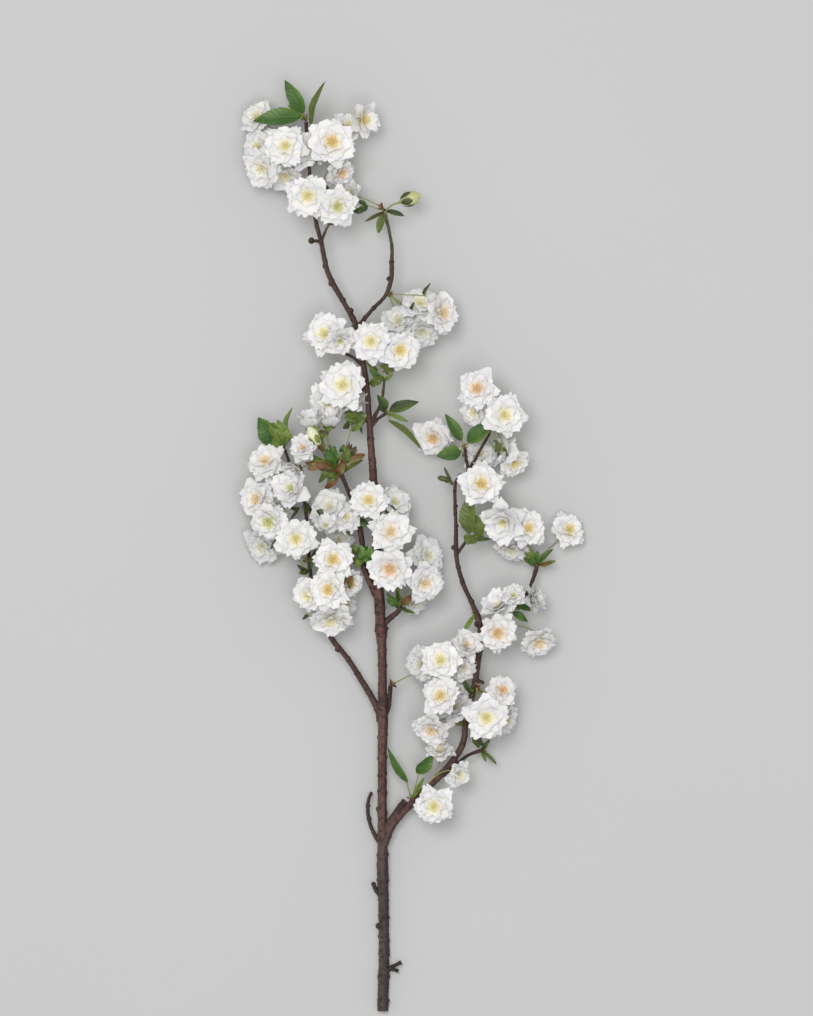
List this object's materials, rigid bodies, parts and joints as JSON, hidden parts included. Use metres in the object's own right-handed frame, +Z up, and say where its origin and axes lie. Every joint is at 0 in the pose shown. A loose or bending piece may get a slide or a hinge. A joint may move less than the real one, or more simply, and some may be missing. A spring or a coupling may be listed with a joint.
{
  "type": "cherry blossom sprig",
  "caption": "Cut cherry branch with side twigs, clusters of semi-double white blossoms on stalks, buds and young green leaves, lying down.",
  "frame": {"origin": "on the table under the middle of the sprig's bounding box", "axes": "+Y along the sprig from its cut end to its tip, +Z up from the table, +X across it"},
  "size_m": [0.3474, 0.9328, 0.0837],
  "materials": {
    "bark": "matte",
    "leaf": "satin",
    "petal": "matte"
  },
  "bodies": {
    "root": {"branch": "bark", "flowers_centre_back": "petal", "flowers_centre_lower": "petal", "flowers_centre_right": "petal", "flowers_centre_upper": "petal", "flowers_fork_low": "petal", "flowers_fork_tip": "petal", "flowers_left_fork": "petal", "flowers_left_lower": "petal", "flowers_left_root": "petal", "flowers_middle_stem": "petal", "flowers_middle_upper": "petal", "flowers_right_back": "petal", "flowers_right_base": "petal", "flowers_right_inner": "petal", "flowers_right_leaf": "petal", "flowers_right_middle": "petal", "flowers_right_top": "petal", "flowers_right_upper": "petal", "flowers_top_back": "petal", "flowers_top_lower": "petal", "flowers_top_upper": "petal", "flowers_trunk_spur": "petal", "flowers_trunk_stub": "petal", "flowers_upper_middle": "petal", "flowers_upper_node": "petal", "flowers_upper_right": "petal", "leaves_fork_low": "leaf", "leaves_fork_tip": "leaf", "leaves_left_leaf": "leaf", "leaves_left_lower": "leaf", "leaves_left_upper": "leaf", "leaves_middle_leaf": "leaf", "leaves_middle_lower": "leaf", "leaves_middle_tip": "leaf", "leaves_middle_upper": "leaf", "leaves_right_base": "leaf", "leaves_right_hanging": "leaf", "leaves_right_knee": "leaf", "leaves_right_leaf": "leaf", "leaves_right_middle": "leaf", "leaves_right_upper": "leaf", "leaves_side_twig": "leaf", "leaves_top_tip": "leaf", "leaves_trunk_spur": "leaf", "leaves_upper_right": "leaf", "leaves_upper_twig": "leaf"}
  },
  "joints": []
}
